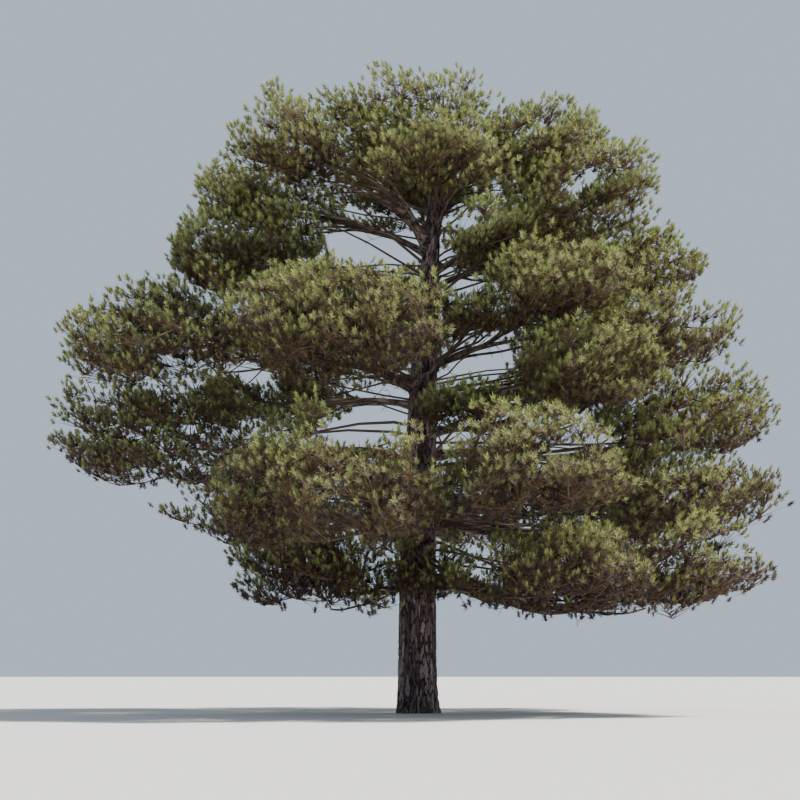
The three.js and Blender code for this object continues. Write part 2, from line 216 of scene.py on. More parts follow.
def bark_surface():
    """The node group that colours and roughens bark: dark furrows, plates of many shades, dry grain."""
    group = bpy.data.node_groups.new("bark_surface", "ShaderNodeTree")
    for way, kind, labels in (
        ("INPUT", "Color", ("Furrow", "Plate", "Pale")),
        ("INPUT", "Float", ("Relief", "Shade", "Grain Size")),
        ("INPUT", "Vector", ("Flakes",)),
        ("OUTPUT", "Color", ("Color",)),
        ("OUTPUT", "Float", ("Roughness", "Height")),
    ):
        for label in labels:
            group.interface.new_socket(label, in_out=way, socket_type="NodeSocket" + kind)
    nodes = group.nodes
    link = group.links.new

    def computed(kind, operation, first, second):
        """What a maths node makes of two values."""
        node = new_node(nodes, kind, operation)
        link(first, node.inputs[0])
        link(second, node.inputs[1])
        return node.outputs[0]

    def ranged(value, **limits):
        """A value carried from one range to another."""
        node = new_node(nodes, "MapRange", **limits)
        link(value, node.inputs["Value"])
        return node.outputs["Result"]

    def blended(share, first, second):
        """Two colours blended by a share."""
        node = new_node(nodes, "Mix")
        node.data_type = "RGBA"
        link(share, node.inputs["Factor"])
        link(first, node.inputs["A"])
        link(second, node.inputs["B"])
        return node.outputs["Result"]

    given = nodes.new("NodeGroupInput").outputs
    made = nodes.new("NodeGroupOutput").inputs
    place = new_node(nodes, "TexCoord").outputs["Object"]
    grain = new_node(nodes, "TexNoise", detail=6, roughness=0.65)
    link(place, grain.inputs["Vector"])
    link(given["Grain Size"], grain.inputs["Scale"])
    patches = new_node(nodes, "TexNoise", scale=1.7, detail=3)
    link(place, patches.inputs["Vector"])

    raised = ranged(given["Relief"], from_min=0.18, from_max=0.85)
    body = blended(raised, given["Furrow"], given["Plate"])
    weathered = computed("Math", "MULTIPLY", given["Shade"], patches.outputs["Fac"])
    worn = computed("Math", "MULTIPLY", weathered, raised)
    plates = blended(ranged(worn, from_min=0.12, from_max=0.5), body, given["Pale"])

    stray = new_node(nodes, "VectorMath", "SCALE", scale=0.06)
    link(grain.outputs["Color"], stray.inputs[0])
    strayed = computed("VectorMath", "ADD", place, stray.outputs["Vector"])
    flakes = new_node(nodes, "TexVoronoi", scale=1)
    flakes.feature = "DISTANCE_TO_EDGE"
    link(computed("VectorMath", "MULTIPLY", strayed, given["Flakes"]), flakes.inputs["Vector"])
    cracks = ranged(flakes.outputs["Distance"], from_max=0.16, to_min=0.45)

    speckle = ranged(grain.outputs["Fac"], from_min=0.3, from_max=0.7, to_min=0.62, to_max=1.3)
    shaded = new_node(nodes, "VectorMath", "SCALE")
    link(plates, shaded.inputs[0])
    link(computed("Math", "MULTIPLY", speckle, cracks), shaded.inputs["Scale"])
    link(shaded.outputs["Vector"], made["Color"])
    link(ranged(worn, to_min=0.96, to_max=0.78), made["Roughness"])
    link(computed("Math", "ADD", grain.outputs["Fac"], cracks), made["Height"])
    return group


bark_group = bark_surface()


def bark_material(name, furrow, plate, pale, grain_size, flakes, bump_height):
    material = bpy.data.materials.new(name)
    material.use_nodes = True
    nodes = material.node_tree.nodes
    link = material.node_tree.links.new
    shader = nodes["Principled BSDF"]
    surface = new_node(nodes, "Group")
    surface.node_tree = bark_group
    for label, colour in (("Furrow", furrow), ("Plate", plate), ("Pale", pale)):
        surface.inputs[label].default_value = (*colour, 1)
    surface.inputs["Grain Size"].default_value = grain_size
    surface.inputs["Flakes"].default_value = flakes
    for label, attribute in (("Relief", "relief"), ("Shade", "plate_shade")):
        reader = new_node(nodes, "Attribute")
        reader.attribute_name = attribute
        link(reader.outputs["Fac"], surface.inputs[label])
    bump = new_node(nodes, "Bump", distance=bump_height, strength=0.7)
    link(surface.outputs["Height"], bump.inputs["Height"])
    link(surface.outputs["Color"], shader.inputs["Base Color"])
    link(surface.outputs["Roughness"], shader.inputs["Roughness"])
    link(bump.outputs["Normal"], shader.inputs["Normal"])
    return material


trunk_bark = bark_material(
    "trunk_bark",
    furrow=(0.017, 0.011, 0.013),
    plate=(0.112, 0.075, 0.078),
    pale=(0.40, 0.295, 0.29),
    grain_size=26,
    flakes=(22, 22, 6),
    bump_height=0.012,
)


def trunk_outline(share, angle):
    height = trunk_tip * share ** ring_crowding
    foot = flare * np.exp(-height / flare_height) * (1 + rib_depth * np.cos(ribs * angle))
    return trunk_radius(height) + foot


def trunk_bark_depth(share):
    height = trunk_tip * share ** ring_crowding
    return trunk_furrow_depth * (thin_bark + (1 - thin_bark) * trunk_radius(height) / foot_radius)


trunk = bark_limb(
    ringed_cylinder("bark_trunk", trunk_sides, trunk_cuts),
    lambda share: trunk_axis(trunk_tip * share ** ring_crowding),
    trunk_outline,
    np.array([1.0, 0.0, 0.0]),
    trunk_plate,
    trunk_bark_depth,
    seed=3,
)
trunk.data.materials.append(trunk_bark)
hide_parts("trunk")
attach(trunk, "root")


# The boughs. Each is one tapering limb that swells into a collar at the trunk, wanders a little and ends
# where it enters its mass of needles. The bark on them is thinner, scalier and paler than the trunk's.

bough_level_height = 5.8
bough_rise_per_metre = 3.6
bough_lowest_rise = -12
bough_highest_rise = 40
bough_root_radius = 0.034
bough_radius_per_metre = 0.0155
bough_tip_radius = 0.046
bough_taper = 0.8
first_bend = 0.33
last_bend = 0.3
bough_lift = 0.06
bough_sag = 0.07
bough_wander = 0.05
bough_seeds = 500
bough_bark_seeds = 100
collar_swell = 0.55
collar_length = 0.3
bough_crook = 0.045
crook_length = 0.9
bough_sides = 22
bough_cuts = (9, 9)
bough_plate = (0.06, 0.2)
bough_furrow_depth = 0.012
tip_bark = 0.5
full_bark_radius = 0.1
length_points = 60
upward = np.array([0, 0, 1.0])

pad_underside = 0.75
entry_along = -0.78
entry_down = -0.3

# Name; middle to the right, behind and above the ground; half length, half width and half rise; and, where
# they differ, the tilt, the height where the bough leaves the trunk, and its thickness. "on" grows without
# a bough. These are the masses of the solids.
masses = [
    ("top", -0.35, -0.35, 14.77, 2.7, 2.65, 1.95, {"on": "tip"}),
    ("top_back", -0.2, 3.0, 14.1, 2.25, 2.55, 1.7, {"on": "trunk"}),
    ("top_left", -3.05, -1.0, 14.25, 2.0, 2.2, 1.5, {"leaves": 12.0, "thick": 1.7}),
    ("left_upper", -4.1, 0.6, 13.25, 1.95, 2.1, 1.35, {"leaves": 11.8}),
    ("top_right", 2.95, 0.3, 14.4, 2.35, 2.25, 1.6, {"tilt": 9, "leaves": 12.3, "thick": 1.8}),
    ("right_upper", 4.3, -1.3, 12.9, 2.2, 2.1, 1.5, {"tilt": 13, "leaves": 11.3}),
    ("left_high", -4.45, -0.2, 11.55, 2.3, 2.9, 1.45, {"leaves": 10.8}),
    ("right_high", 5.4, 1.5, 11.4, 2.7, 2.25, 1.6, {"tilt": 13}),
    ("right_front_high", 3.3, -3.2, 9.95, 2.2, 2.0, 1.25, {"tilt": 12}),
    ("right_small", 1.9, -2.2, 11.5, 1.3, 1.2, 0.8, {"on": "trunk"}),
    ("front_mid", 1.5, -2.7, 9.6, 1.45, 1.3, 1.0, {"on": "trunk"}),
    ("back_high", 3.1, 4.0, 12.8, 2.55, 2.4, 1.7, {"tilt": 10}),
    ("left_mid", -6.2, -1.9, 9.1, 2.95, 2.4, 1.65, {"tilt": -10}),
    ("left_low", -6.85, 0.6, 7.0, 3.05, 3.0, 2.2, {"tilt": -3}),
    ("front_left_mid", -2.1, -4.5, 8.85, 2.7, 3.2, 1.9, {}),
    ("front_small", 1.15, -2.65, 7.2, 1.4, 1.4, 0.65, {"on": "trunk"}),
    ("right_mid", 5.95, -0.85, 9.2, 2.6, 2.3, 1.45, {"tilt": 12}),
    ("right_long", 7.0, 1.8, 7.5, 2.95, 2.5, 1.65, {"tilt": 9}),
    ("right_front_mid", 4.0, -3.3, 7.85, 2.1, 1.85, 1.25, {"tilt": 10}),
    ("back_left_mid", -4.3, 4.7, 8.9, 2.8, 2.7, 2.0, {}),
    ("back_mid", -1.3, 5.7, 10.8, 2.8, 3.0, 2.1, {}),
    ("back_right_mid", 4.7, 5.1, 9.5, 2.85, 2.75, 2.1, {"tilt": 9}),
    ("front_left_low", -2.1, -5.9, 4.8, 3.0, 3.15, 1.8, {}),
    ("left_under", -2.7, -1.3, 3.3, 2.3, 2.4, 1.4, {}),
    ("front_right_low", 2.55, -5.6, 5.25, 2.45, 2.2, 1.7, {}),
    ("front_right_under", 3.5, -3.9, 3.1, 2.45, 2.3, 1.35, {}),
    ("right_lower", 6.5, -0.5, 5.1, 2.95, 2.4, 1.7, {"tilt": 8}),
    ("right_bottom", 5.8, -2.65, 3.1, 2.85, 2.2, 1.5, {"tilt": 6}),
    ("back_left_low", -4.1, 4.6, 5.3, 2.6, 2.6, 2.1, {}),
    ("back_low", 0.3, 6.4, 5.6, 2.9, 3.15, 2.45, {}),
    ("back_right_low", 5.2, 5.0, 5.1, 2.9, 2.8, 2.25, {}),
    ("trunk_sprig", 0.25, -1.9, 3.25, 1.35, 1.25, 0.9, {"on": "trunk"}),
    ("top_front", 0.6, -2.3, 13.65, 1.8, 1.7, 1.05, {"on": "trunk"}),
]


def unit(vector):
    return vector / np.linalg.norm(vector)


def seeded(seed):
    """The solids' own numbers from 0 to 1, so that boughs and main twigs fall where theirs do."""
    word = 2 ** 32
    state = (seed * 7919 + 104729) % word

    def draw():
        nonlocal state
        state = (state * 1664525 + 1013904223) % word
        return state / word

    return draw


class Pad:
    """The domed space of one mass: its middle, its three directions and its half sizes."""

    def __init__(self, index, name, right, back, up, long, wide, tall, more):
        heading = math.atan2(back, right)
        tilt = math.radians(more.get("tilt", 0))
        self.index = index
        self.name = name
        self.more = more
        self.middle = np.array([right, back, up])
        self.along = np.array([
            math.cos(heading) * math.cos(tilt),
            math.sin(heading) * math.cos(tilt),
            math.sin(tilt),
        ])
        self.across = np.array([-math.sin(heading), math.cos(heading), 0.0])
        self.above = np.cross(self.along, self.across)
        self.sizes = np.array([long, wide, tall])
        self.area = math.pi * long * wide

    def at(self, u, v, w):
        low = pad_underside if w < 0 else 1
        u, v, w = np.array([u, v, w * low]) * self.sizes
        return self.middle + u * self.along + v * self.across + w * self.above

    def inside(self, places):
        """Each place as shares of the half sizes, with the flatter underside allowed for."""
        out = np.atleast_2d(places) - self.middle
        shares = out @ np.column_stack([self.along, self.across, self.above]) / self.sizes
        shares[:, 2] = np.where(shares[:, 2] < 0, shares[:, 2] / pad_underside, shares[:, 2])
        return shares

    def share(self, places):
        return lengths(self.inside(places))


pads = [Pad(index, *row) for index, row in enumerate(masses)]
carried = [pad for pad in pads if "on" not in pad.more]


def bezier(points, share):
    """A place, or many, on the curve that two, three or four points pull."""
    share = np.asarray(share, float)[..., None]
    points = [np.asarray(point, float) for point in points]
    while len(points) > 1:
        points = [a + (b - a) * share for a, b in zip(points, points[1:])]
    return points[0] + 0 * share


def bough_points(pad):
    """The four points of a bough's curve, from the trunk's middle to where it enters its mass."""
    draw = seeded(pad.index + bough_seeds)
    entry = pad.at(entry_along, 0, entry_down)
    run = math.hypot(entry[0], entry[1])
    rise = (entry[2] - bough_level_height) * bough_rise_per_metre
    rise = math.radians(min(max(rise, bough_lowest_rise), bough_highest_rise))
    root = trunk_axis(pad.more.get("leaves", entry[2] - run * math.tan(rise)))
    span = entry - root
    length = np.linalg.norm(span)
    sideways = pad.across * (draw() - 0.5) * 2 * bough_wander * length
    first = root + span * first_bend + upward * bough_lift * length + sideways
    second = entry - pad.along * last_bend * length - upward * bough_sag * length - sideways
    return [root, first, second, entry]


def curve_length(points):
    return lengths(np.diff(bezier(points, np.linspace(0, 1, length_points)), axis=0)).sum()


bough_bark = bark_material(
    "bough_bark",
    furrow=(0.030, 0.020, 0.017),
    plate=(0.150, 0.102, 0.085),
    pale=(0.42, 0.305, 0.255),
    grain_size=48,
    flakes=(34, 34, 34),
    bump_height=0.006,
)

side_limb_starts = (0.05, 0.13, 0.24)
side_limb_goals = ((-0.6, 0.55, -0.35), (-0.55, -0.6, -0.2), (-0.3, 0.15, -0.7))
side_limb_share = 0.62
side_limb_end = 0.022
side_limb_sides = 12
side_limb_cuts = (6, 6)
side_limb_seeds = 300
side_limb_bark_seeds = 200
side_limb_shift = (-0.02, 0.04)
side_limb_spread = 0.12
side_limb_bends = (0.33, 0.25)
side_limb_lift = 0.04
side_limb_sag = 0.06
side_limb_parting = 0.25
side_limb_wander = 0.05
look_ahead = 0.05
lowest_limb = 2.55


def limb_piece(name, points, radius, end_radius, collar, side, plate, seed, sides, cuts):
    """A tapering limb with bark along a curve of four points, crooked between its two ends."""
    length = curve_length(points)

    def centre(share):
        spot = np.column_stack([share * length / crook_length, 0 * share, 0 * share])
        held = np.sin(math.pi * np.clip(share, 0, 1))[:, None]
        crooks = [smooth_noise(spot, seed * 7 + k)[:, None] * bough_crook for k in (1, 2)]
        return bezier(points, share) + held * (crooks[0] * side + crooks[1] * upward)

    def outline(share, angle):
        thin = radius + (end_radius - radius) * share ** bough_taper
        outside = np.maximum(share * length - collar, 0)
        return thin * (1 + collar_swell * np.exp(-outside / collar_length))

    def depth(share):
        return bough_furrow_depth * (1 - tip_bark * share) * min(radius / full_bark_radius, 1)

    limb = bark_limb(ringed_cylinder(name, sides, cuts), centre, outline, side, plate, depth, seed)
    limb.data.materials.append(bough_bark)
    return limb


bough_curves = {}
side_limbs = {}
for pad in carried:
    points = bough_points(pad)
    length = curve_length(points)
    root_radius = (bough_root_radius + bough_radius_per_metre * length) * pad.more.get("thick", 1)
    bough_curves[pad.name] = (points, length, root_radius)
    skin = float(trunk_radius(points[0][2]))
    limbs = [limb_piece(
        "bark_bough_" + pad.name, points, root_radius, bough_tip_radius, skin,
        pad.across, bough_plate, bough_bark_seeds + pad.index, bough_sides, bough_cuts,
    )]
    rng = np.random.default_rng(side_limb_seeds + pad.index)
    side_limbs[pad.name] = []
    for number, (share, goal) in enumerate(zip(side_limb_starts, side_limb_goals)):
        share += rng.uniform(*side_limb_shift)
        start = bezier(points, share)
        goal = pad.at(*(np.array(goal) + rng.uniform(-side_limb_spread, side_limb_spread, 3)))
        goal[2] = max(goal[2], lowest_limb)
        reach = np.linalg.norm(goal - start)
        onward = unit(bezier(points, share + look_ahead) - start)
        parting = pad.across * side_limb_parting * np.sign((goal - start) @ pad.across)
        spread = rng.normal(0, side_limb_wander, 3) + parting
        first = start + (onward + spread) * side_limb_bends[0] * reach + upward * side_limb_lift * reach
        second = goal - pad.along * side_limb_bends[1] * reach - upward * side_limb_sag * reach
        curve = [start, first, second, goal]
        radius = root_radius + (bough_tip_radius - root_radius) * share ** bough_taper
        bark_seed = side_limb_bark_seeds + 3 * pad.index + number
        limbs.append(limb_piece(
            f"limb_{number}", curve, radius * side_limb_share, side_limb_end, radius,
            pad.across, bough_plate, bark_seed, side_limb_sides, side_limb_cuts,
        ))
        side_limbs[pad.name].append((curve, reach))
    select(limbs)
    bpy.ops.object.join()
    bough = limbs[0]
    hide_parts("bough_" + pad.name)
    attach(bough, "root")


# The twigs. A stem goes on from each bough's tip into its mass. Main twigs branch from it by the rule that
# the solids follow, side twigs branch from those by the same rule, and each of these ends in a cluster of
# short shoots. Where the photo shows sky, nothing grows.

stem_end = -0.05
stem_down = -0.15
stem_rise = 0.35
rim_reach = 0.84
dome_reach = 0.68
dome_curve = 0.9
dome_power = 0.4
dome_least = 0.62
dome_drop = 0.22
tips_per_square_metre = 0.5
fewest_tips = 5
top_stem = 0.45
twig_bend_at = 0.55
twig_sag = 0.14
twig_detour = 0.35
own_margin = 0.03
pad_edge = 1.06
bridge_from = 1.9
bridge_fade = 0.4
bridge_end = 0.8
bridge_end_fade = 0.4
strays_kept = 1.4
surface_depth = 0.86
golden_angle = math.pi * (3 - math.sqrt(5))

viewer = np.array([-0.434, -45.0, 1.0])
sky_windows = [  # right, up, half width, half height and slant, where a line of sight crosses y = 0
    (-1.43, 12.0, 1.2, 0.6, -18),
    (-0.22, 12.86, 0.39, 0.29, 0),
    (1.22, 12.72, 0.55, 0.26, 6),
    (0.88, 11.86, 0.24, 0.24, 0),
    (1.32, 11.03, 0.78, 0.29, 15),
    (1.69, 9.07, 0.99, 0.42, 6),
    (1.95, 8.15, 0.47, 0.13, 0),
    (-4.37, 8.67, 0.57, 0.44, -15),
    (-0.59, 7.76, 0.41, 0.52, 0),
    (-1.72, 7.11, 1.19, 0.39, -6),
    (0.96, 7.16, 0.41, 0.1, 0),
    (4.46, 6.82, 1.34, 0.23, 12),
    (-6.38, 8.97, 0.45, 0.25, -20),
    (-8.05, 8.22, 0.4, 0.11, -32),
    (-7.4, 7.02, 0.55, 0.13, -8),
    (-5.85, 7.15, 0.6, 0.22, -22),
    (0.12, 6.6, 0.36, 0.5, 8),
    (0.45, 3.75, 0.17, 0.5, 4),
]


def window_share(places):
    """How near each place's line of sight is to the middle of a sky window: under 1 is inside one."""
    sight = np.atleast_2d(places) - viewer
    seen = viewer + sight * (-viewer[1] / sight[:, 1])[:, None]
    best = np.full(len(seen), 9.0)
    for right, up, wide, high, slant in sky_windows:
        turn = math.radians(slant)
        x = seen[:, 0] - right
        z = seen[:, 2] - up
        over = np.hypot(
            (x * math.cos(turn) + z * math.sin(turn)) / wide,
            (z * math.cos(turn) - x * math.sin(turn)) / high,
        )
        best = np.minimum(best, over)
    return best


def nearest_other(pad, places):
    """The least share that each place has of any other pad's half sizes."""
    return np.min([other.share(places) for other in pads if other is not pad], axis=0)


def reach_limit(pad, places, nearest, edge, bridge):
    """How far a pad reaches at each place: further on its inner side where another pad is near."""
    near = np.clip((bridge_from - nearest) / bridge_fade, 0, 1)
    inner = np.clip((bridge_end - pad.inside(places)[:, 0]) / bridge_end_fade, 0, 1)
    return edge + bridge * near * inner


def own_places(pad, places, edge, margin, bridge=0.0):
    """True for each place that is the pad's own: within its reach, and deeper in it than in any other."""
    share = pad.share(places)
    nearest = nearest_other(pad, places)
    return (share < reach_limit(pad, places, nearest, edge, bridge)) & (nearest > share + margin)


def drawn_in(pad, places, edge, bridge, rng):
    """Draws the places that lie a little past the pad's reach in to its surface."""
    share = pad.share(places)
    limit = reach_limit(pad, places, nearest_other(pad, places), edge, bridge)
    past = (share > limit) & (share < limit * strays_kept)
    scale = np.where(past, limit / share * rng.uniform(surface_depth, 0.999, len(share)), 1)
    return pad.middle + (places - pad.middle) * scale[:, None]


def tip_places(pad, count, draw):
    """The tips of a pad's main twigs, spread as seeds are in a sunflower and high in the middle."""
    phase = draw() * 2 * math.pi
    tips = []
    for k in range(count):
        angle = k * golden_angle + phase
        out = math.sqrt((k + 0.5) / count)
        dome = (1 - dome_curve * out * out) ** dome_power
        dome *= dome_least + (1 - dome_least) * draw()
        rim = out * rim_reach
        high = (dome - dome_drop) * dome_reach
        tips.append(pad.at(rim * math.cos(angle), rim * math.sin(angle), high))
    return tips


def grow_twigs(forks, tips, sag=twig_sag):
    """Curves that join each tip, the nearest to the stem first, to the fork that costs it least."""
    places = [np.asarray(place) for place, _ in forks]
    backs = [back for _, back in forks]
    curves = []
    for tip in sorted(tips, key=lambda place: np.linalg.norm(place - places[0])):
        reach = lengths(np.array(places) - tip)
        best = int(np.argmin(reach + twig_detour * np.array(backs)))
        length = reach[best]
        low = places[best] + (tip - places[best]) * twig_bend_at
        curve = [places[best], low - upward * sag * length, tip]
        back = backs[best]
        for share in (0.5, 1):
            places.append(bezier(curve, share))
            backs.append(back + share * length)
        curves.append(curve)
    return curves


def stem_curve(pad):
    """The stem of a mass: on from its bough's tip, up from the trunk's tip, or out of the trunk."""
    end = pad.at(stem_end, 0, stem_down)
    if pad.more.get("on") == "tip":
        foot = trunk_axis(trunk_tip)
        end = foot + upward * top_stem
        heading = unit(end - foot)
    elif pad.more.get("on") == "trunk":
        foot = trunk_axis(pad.middle[2] - stem_rise * math.hypot(pad.middle[0], pad.middle[1]))
        heading = unit(end - foot)
    else:
        points = bough_curves[pad.name][0]
        foot = points[3]
        heading = unit(points[3] - points[2])
    return [foot, foot + heading * np.linalg.norm(end - foot) / 2, end]


def spikes(lines, radii, sides):
    """Closed tapering tubes along many lines at once, each ending in a point."""
    count, rings, _ = lines.shape
    along = np.gradient(lines, axis=1)
    along /= np.linalg.norm(along, axis=2)[..., None] + 1e-12
    side = np.cross(along, np.array([0.31, 0.22, 0.92]))
    side /= np.linalg.norm(side, axis=2)[..., None] + 1e-12
    above = np.cross(along, side)
    angle = 2 * math.pi * np.arange(sides) / sides
    ring = np.cos(angle)[:, None] * side[:, :, None] + np.sin(angle)[:, None] * above[:, :, None]
    body = lines[:, :-1, None] + ring[:, :-1] * radii[:, :-1, None, None]
    places = np.concatenate([body.reshape(count, -1, 3), lines[:, -1:]], axis=1)
    faces = []
    for step in range(rings - 2):
        for k in range(sides):
            a = step * sides + k
            b = step * sides + (k + 1) % sides
            faces.append((a, b, b + sides))
            faces.append((a, b + sides, a + sides))
    last = (rings - 2) * sides
    point = (rings - 1) * sides
    faces += [(last + k, last + (k + 1) % sides, point) for k in range(sides)]
    faces += [(0, k + 1, k) for k in range(1, sides - 1)]
    each = places.shape[1]
    faces = np.array(faces)[None] + (np.arange(count) * each)[:, None, None]
    return places.reshape(-1, 3), faces.reshape(-1, 3)


def joined(groups):
    """Several lots of places and faces as one."""
    shift = np.cumsum([0] + [len(places) for places, _ in groups])
    places = np.concatenate([places for places, _ in groups])
    faces = np.concatenate([faces + start for (_, faces), start in zip(groups, shift)])
    return places, faces


def piece_of(name, places, faces, material):
    """A mesh of triangles from arrays."""
    mesh = bpy.data.meshes.new(name)
    mesh.vertices.add(len(places))
    mesh.vertices.foreach_set("co", places.astype(np.float32).ravel())
    mesh.loops.add(faces.size)
    mesh.loops.foreach_set("vertex_index", faces.astype(np.int32).ravel())
    mesh.polygons.add(len(faces))
    mesh.polygons.foreach_set("loop_start", np.arange(0, faces.size, 3, dtype=np.int32))
    mesh.update(calc_edges=True)
    mesh.materials.append(material)
    piece = bpy.data.objects.new(name, mesh)
    bpy.context.scene.collection.objects.link(piece)
    return piece


def plain_material(name, colour, roughness, shine):
    material = bpy.data.materials.new(name)
    material.use_nodes = True
    shader = material.node_tree.nodes["Principled BSDF"]
    shader.inputs["Base Color"].default_value = (*colour, 1)
    shader.inputs["Roughness"].default_value = roughness
    shader.inputs["Specular IOR Level"].default_value = shine
    return material


stem_radius = 0.03
main_twig_radius = 0.024
main_twig_end = 0.012
main_forks = (0.35, 0.7, 1)
side_limb_forks = (0.6, 0.8, 1)
fork_detour = 0.4
twig_seeds = 1000
line_steps = np.linspace(0, 1, 6)
side_steps = np.linspace(0, 1, 4)


def held_up(line):
    """A line whose lower stretches are lifted into the foliage at the bottom of the crown."""
    line[1:, 2] = np.maximum(line[1:, 2], lowest_limb)
    return line


branch_starts = (0.34, 0.46, 0.58, 0.7, 0.84)
branch_along = (-0.75, 0.75)
branch_vary = (-0.1, 0.1)
branch_aside = (0.35, 0.75)
branch_above = (-0.55, 0.25)
branch_onward = 2.2
branch_inward = 0.18
branch_lift = 0.1
branch_ahead = 0.12
branch_radius = 0.62
branch_end = 0.014
branch_taper = 0.8
branch_forks = (0.5, 0.75, 1)


def branch_curve(pad, points, share, side, rng):
    """A branch that runs on from a place along the bough, and then out to one side of the mass."""
    start = bezier(points, share)
    goal = pad.at(
        branch_along[0] + branch_along[1] * share + rng.uniform(*branch_vary),
        side * rng.uniform(*branch_aside),
        rng.uniform(*branch_above),
    )
    bend = start + (bezier(points, min(share + branch_ahead, 1)) - start) * branch_onward
    bend += (goal - start) * branch_inward + upward * branch_lift * rng.normal()
    return [start, bend, goal]


def thinning(thickest):
    """The radii of a branch at the steps along its line."""
    return branch_end + (thickest - branch_end) * (1 - line_steps) ** branch_taper


slender_limbs = 3
slender_apart = (0.2, 0.9)
slender_lowest = 5.5
slender_highest = 0.3
slender_goals = ((-0.7, 0), (-0.65, 0.65), (-0.65, 0.1))
slender_onward = (0.6, 1.3)
slender_stray = 0.25
slender_crook = 0.035
slender_radius = (0.028, 0.05)
slender_forks = (0.7, 0.85, 1)


def slender_curve(pad, points, number, rng):
    """A slender limb that leaves the trunk a little above or below the bough, for the same mass."""
    below = number % 2 and points[0][2] > slender_lowest
    lift = rng.uniform(*slender_apart) * (-1 if below else 1)
    start = trunk_axis(min(points[0][2] + lift, trunk_tip - slender_highest))
    goal = pad.at(*[rng.uniform(*limits) for limits in slender_goals])
    out = (points[1] - points[0]) * rng.uniform(*slender_onward)
    return [start, start + out + rng.normal(0, slender_stray, 3), goal]


bare_twigs_per_bough = 20
bare_starts = (0.2, 0.95)
bare_onward = 0.7
bare_stray = 0.5
bare_rise = 0.15
bare_bend = 0.1
bare_length = (0.25, 0.9)
bare_radius = 0.009
bare_taper = 0.7
bare_forks = (0.4, 0.7)
bare_fork_stray = 0.55
bare_fork_length = 0.35
bare_fork_bend = 0.02


def bare_twig(points, share, rng):
    """The lines of a twig without needles: one from the bough, and two that fork from it."""
    start = bezier(points, share)
    heading = unit(points[3] - points[0]) * bare_onward + rng.normal(0, bare_stray, 3)
    heading = unit(heading + upward * bare_rise)
    reach = rng.uniform(*bare_length)
    end = start + heading * reach
    curves = [[start, (start + end) / 2 + rng.normal(0, bare_bend, 3) * reach, end]]
    for part in bare_forks:
        fork = bezier(curves[0], part)
        out = fork + (heading + rng.normal(0, bare_fork_stray, 3)) * reach * bare_fork_length
        curves.append([fork, (fork + out) / 2 + rng.normal(0, bare_fork_bend, 3), out])
    return [held_up(bezier(curve, side_steps)) for curve in curves]


side_tips_per_square_metre = 3.8
side_lowest = -0.9
side_reach = (0.58, 0.86)
inner_share = 0.18
inner_reach = (0.3, 0.6)
bridge_share = 0.34
bridge_reach = (0.9, 1.4)
tip_edge = 0.88
tip_bridge = 0.6
side_twig_sag = 0.08
crown_bottom = 2.15
ragged_window = 0.75


def side_tips(pad, count, rng):
    """Tips of the side twigs: spread evenly over the pad's top and sides, and some of them within it."""
    k = np.arange(count)
    height = side_lowest + (1 - side_lowest) * (k + rng.uniform(0, 1, count)) / count
    angle = k * golden_angle + rng.uniform(0, 2 * math.pi)
    round_out = np.sqrt(1 - height * height)
    reach = rng.uniform(*side_reach, count)
    within = rng.uniform(0, 1, count) < inner_share
    reach = np.where(within, rng.uniform(*inner_reach, count), reach)
    bridges = rng.uniform(0, 1, count) < bridge_share
    reach = np.where(bridges, rng.uniform(*bridge_reach, count), reach)
    tips = np.array([
        pad.at(r * q * math.cos(a), r * q * math.sin(a), r * h)
        for r, q, a, h in zip(reach, round_out, angle, height)
    ])
    clear = own_places(pad, tips, tip_edge, 0.0, tip_bridge) & (window_share(tips) > ragged_window)
    return list(tips[clear & (tips[:, 2] > crown_bottom)])


shoots_per_tip = 28
fan_size = (0.5, 0.85)
fan_long = 1.3
fan_wide = 0.85
fan_tall = 0.55
fan_rise = 0.42
fan_rise_vary = 0.3
fan_lowest = -0.15
fan_softness = 0.8
fan_onward = 0.5
fan_reach = (0.66, 1.05)
fan_of_small_mass = 0.34
shoot_spread = 0.5
shoot_onward = 0.45
shoot_stray = 0.16
shoot_rise = 0.6


def fan_of_shoots(curve, widest, rng):
    """Shoots round a side twig's tip: their places, the ways they point, and how high each one stands."""
    tip = curve[2]
    from_trunk = (tip - trunk_axis(min(tip[2], trunk_tip))) * np.array([1, 1, 0])
    heading = from_trunk / (np.linalg.norm(from_trunk) + fan_softness)
    heading += fan_onward * unit(tip - curve[0])
    heading[2] = fan_rise + fan_rise_vary * rng.normal() * fan_rise
    heading = unit(heading)
    beside = unit(np.cross(upward, heading))
    above = np.cross(heading, beside)
    size = min(rng.uniform(*fan_size), fan_of_small_mass * widest)
    k = np.arange(shoots_per_tip)
    height = fan_lowest + (1 - fan_lowest) * (k + 0.5) / shoots_per_tip
    angle = k * golden_angle + rng.uniform(0, 2 * math.pi)
    round_out = np.sqrt(1 - height * height)
    around = np.column_stack([round_out * np.cos(angle), round_out * np.sin(angle), height])
    around *= rng.uniform(*fan_reach, len(k))[:, None]
    spots = tip + around @ np.array([heading * fan_long, beside * fan_wide, above * fan_tall]) * size
    ways = around @ np.array([heading, beside, above]) * shoot_spread + heading * shoot_onward
    ways += rng.normal(0, shoot_stray, spots.shape)
    ways[:, 2] += shoot_rise
    return spots, units(ways), around[:, 2]


edge_lumps = 0.2
lump_size = 0.95
lump_seed = 51
high_edge = 0.9
low_edge = 0.2
furthest_edge = 0.98
tuft_bridge = 0.6
leader_height = 0.14
leader_rarity = 3
ragged_spread = 0.2
brush_reach = 0.12
trunk_gap = 0.12


